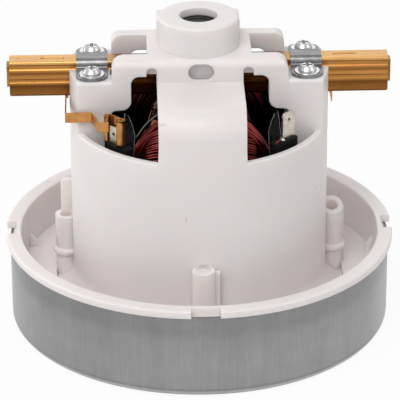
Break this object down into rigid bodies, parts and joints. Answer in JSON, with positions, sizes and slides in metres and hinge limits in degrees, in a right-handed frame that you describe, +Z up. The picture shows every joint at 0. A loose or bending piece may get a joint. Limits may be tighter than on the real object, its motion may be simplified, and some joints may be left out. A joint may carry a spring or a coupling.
{
  "type": "vacuum motor",
  "caption": "Through-flow suction motor: open-windowed plastic housing on a pressed steel fan shell, with radial brush tubes, wound field, armature and impeller.",
  "frame": {"origin": "centre of the fan shell's flat bottom, on the shaft axis", "axes": "+Z up the shaft from the fan shell to the bearing nose, +X along the right brush tube, -Y towards the front of the picture"},
  "size_m": [0.1436, 0.1436, 0.1191],
  "materials": {
    "housing_plastic": "warm off-white moulded thermoset, satin",
    "shell_steel": "deep-drawn sheet, satin, faint drawing lines",
    "diffuser_plastic": "moulded black thermoplastic",
    "bracket_aluminium": "die-cast, matt",
    "zinc_screw": "zinc plated, bright",
    "bearing_steel": "ground and polished",
    "black_rubber": "moulded, matt",
    "lamination_steel": "stacked electrical sheet, fine horizontal lines",
    "black_plastic": "moulded glass-filled nylon",
    "coil_copper": "enamelled copper wire, red brown, glossy",
    "tinned_brass": "tinned brass, bright",
    "shaft_steel": "ground steel",
    "armature_copper": "enamelled copper end turns, varnished",
    "phenolic": "dark brown moulding compound",
    "commutator_copper": "turned copper",
    "impeller_aluminium": "rolled aluminium sheet",
    "tube_brass": "drawn sheet brass, golden, satin",
    "carbon": "pressed electrographite, dark grey",
    "spring_steel": "stainless spring wire",
    "strap_zinc": "zinc plated, blue grey",
    "lead_brass": "stamped sheet brass, orange gold"
  },
  "bodies": {
    "stator": {"motor_housing": "housing_plastic", "fan_shell": "shell_steel", "diffuser_plate": "diffuser_plastic", "bearing_bracket": "bracket_aluminium", "bracket_screws": "zinc_screw", "lower_bearing_outer_ring": "bearing_steel", "lower_bearing_seals": "black_rubber", "upper_bearing_boot": "black_rubber", "upper_bearing_outer_ring": "bearing_steel", "upper_bearing_seals": "black_rubber", "stator_core": "lamination_steel", "upper_insulator": "black_plastic", "lower_insulator": "black_plastic", "field_screws": "zinc_screw", "field_coil_front": "coil_copper", "field_coil_back": "coil_copper", "field_winding_front": "coil_copper", "field_winding_back": "coil_copper", "field_tabs": "tinned_brass", "brush_tube_right": "tube_brass", "brush_tube_left": "tube_brass", "brush_cap_right": "black_plastic", "brush_cap_left": "black_plastic", "brush_spring_right": "spring_steel", "brush_spring_left": "spring_steel", "brush_strap_right": "strap_zinc", "brush_strap_left": "strap_zinc", "strap_screws": "strap_zinc", "brush_lead_left": "lead_brass", "brush_lead_right": "lead_brass"},
    "rotor": {"rotor_shaft": "shaft_steel", "armature_core": "lamination_steel", "armature_winding": "armature_copper", "commutator_hub": "phenolic", "commutator": "commutator_copper", "lower_bearing_inner_ring": "bearing_steel", "upper_bearing_inner_ring": "bearing_steel", "impeller_back_disc": "impeller_aluminium", "impeller_blades": "impeller_aluminium", "impeller_shroud": "impeller_aluminium", "impeller_hub": "bracket_aluminium", "impeller_spacer": "shaft_steel", "impeller_washer": "zinc_screw", "impeller_nut": "zinc_screw"},
    "lower_balls": {"lower_bearing_balls": "bearing_steel"},
    "upper_balls": {"upper_bearing_balls": "bearing_steel"},
    "brush_right": {"carbon_brush_right": "carbon"},
    "brush_left": {"carbon_brush_left": "carbon"}
  },
  "joints": [
    {"name": "rotor_spin", "type": "hinge", "parent": "stator", "child": "rotor", "pos_m": [0, 0, 0.055], "axis": [0, 0, 1], "continuous": true},
    {"name": "lower_cage_spin", "type": "hinge", "parent": "stator", "child": "lower_balls", "pos_m": [0, 0, 0.0184], "axis": [0, 0, 1], "continuous": true},
    {"name": "upper_cage_spin", "type": "hinge", "parent": "stator", "child": "upper_balls", "pos_m": [0, 0, 0.112], "axis": [0, 0, 1], "continuous": true},
    {"name": "brush_wear_right", "type": "slide", "parent": "stator", "child": "brush_right", "axis": [1, 0, 0], "range_m": [0, 0.012], "stiffness_N_per_m": 60, "springref_m": -0.04, "deforming": ["brush_spring_right"]},
    {"name": "brush_wear_left", "type": "slide", "parent": "stator", "child": "brush_left", "axis": [-1, 0, 0], "range_m": [0, 0.012], "stiffness_N_per_m": 60, "springref_m": -0.04, "deforming": ["brush_spring_left"]}
  ],
  "couplings": [
    {"joint": "lower_cage_spin", "follows": "rotor_spin", "ratio": 0.3733},
    {"joint": "upper_cage_spin", "follows": "rotor_spin", "ratio": 0.3733}
  ]
}
